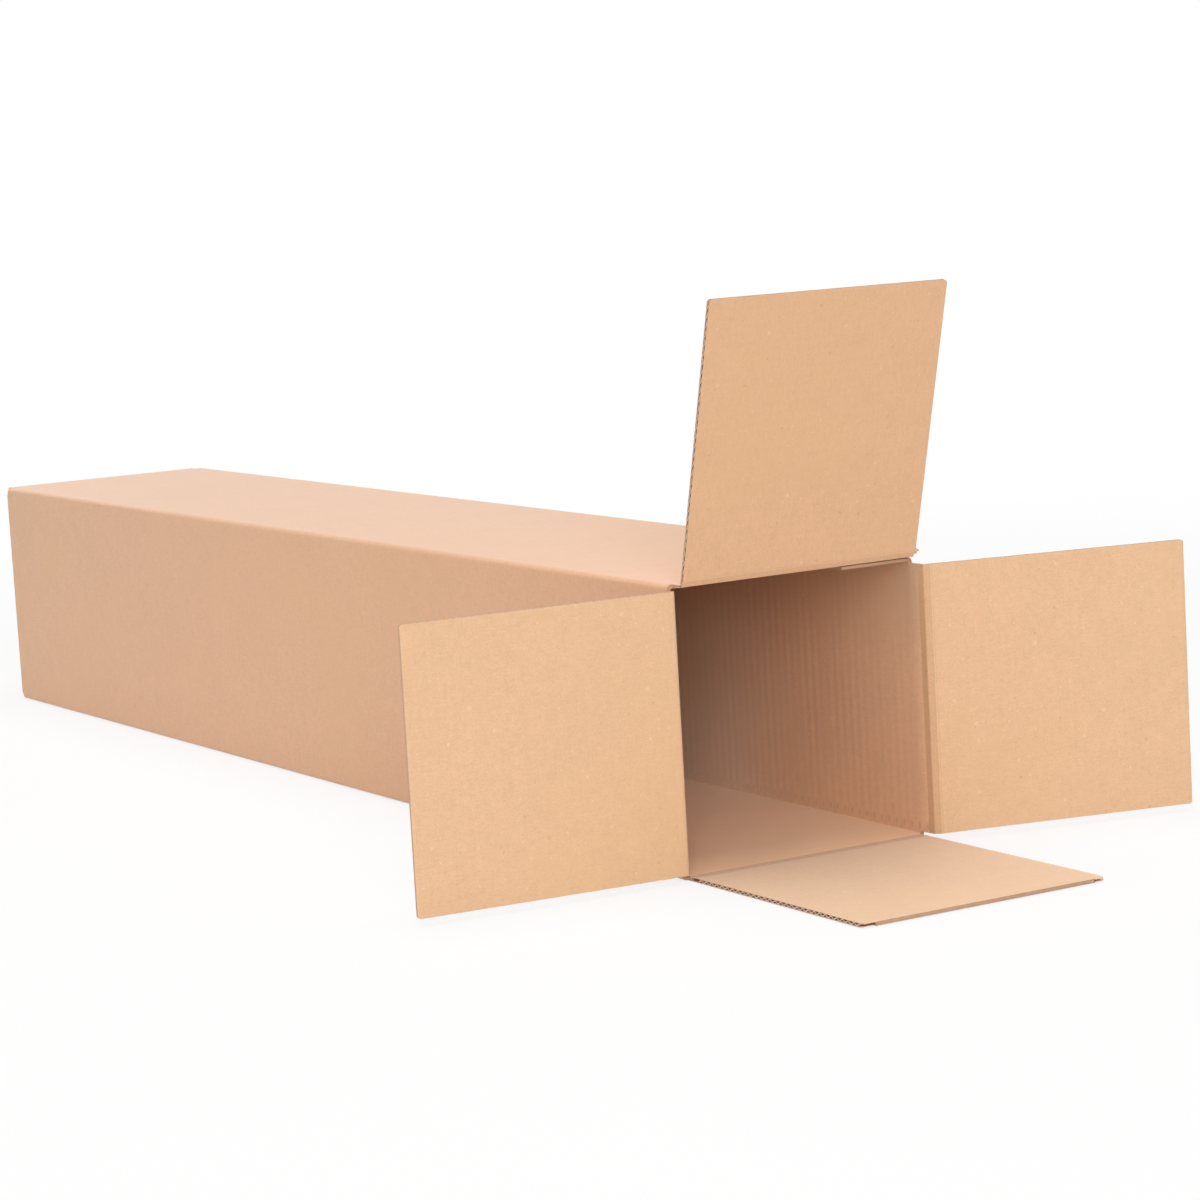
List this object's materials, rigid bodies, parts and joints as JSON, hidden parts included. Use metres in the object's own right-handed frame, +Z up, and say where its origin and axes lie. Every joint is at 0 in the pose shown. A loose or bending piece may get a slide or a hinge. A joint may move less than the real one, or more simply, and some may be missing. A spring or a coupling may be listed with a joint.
{
  "type": "open cardboard box",
  "caption": "Long square-section shipping box of fine-fluted card, lying down with its mouth open and full-overlap flaps folded back.",
  "frame": {"origin": "middle of the underside of the box's inside length, on the surface that it rests on", "axes": "+Y along the box from its mouth to its closed end, +X to the right seen from the mouth, +Z up"},
  "size_m": [0.3174, 0.746, 0.2106],
  "materials": {
    "card_outside": "matt kraft",
    "card_inside": "matt kraft"
  },
  "bodies": {
    "box": {"box_body": "card_outside"},
    "left_flap": {"left_flap": "card_inside"},
    "bottom_flap": {"bottom_flap": "card_inside"},
    "top_flap": {"top_flap": "card_inside"},
    "right_flap": {"right_flap": "card_inside"}
  },
  "joints": [
    {"name": "left_flap_fold", "type": "hinge", "parent": "box", "child": "left_flap", "pos_m": [-0.0541, -0.3158, 0.0541], "axis": [0, 0, -1], "range_deg": [-184.4, 75.6]},
    {"name": "bottom_flap_fold", "type": "hinge", "parent": "box", "child": "bottom_flap", "pos_m": [0, -0.3177, 0], "axis": [1, 0, 0], "range_deg": [-90, 0]},
    {"name": "top_flap_fold", "type": "hinge", "parent": "box", "child": "top_flap", "pos_m": [0, -0.3196, 0.1082], "axis": [-1, 0, 0], "range_deg": [-164.9, 95.1]},
    {"name": "right_flap_fold", "type": "hinge", "parent": "box", "child": "right_flap", "pos_m": [0.0541, -0.3215, 0.0533], "axis": [0, 0, 1], "range_deg": [-166.7, 93.3]}
  ]
}
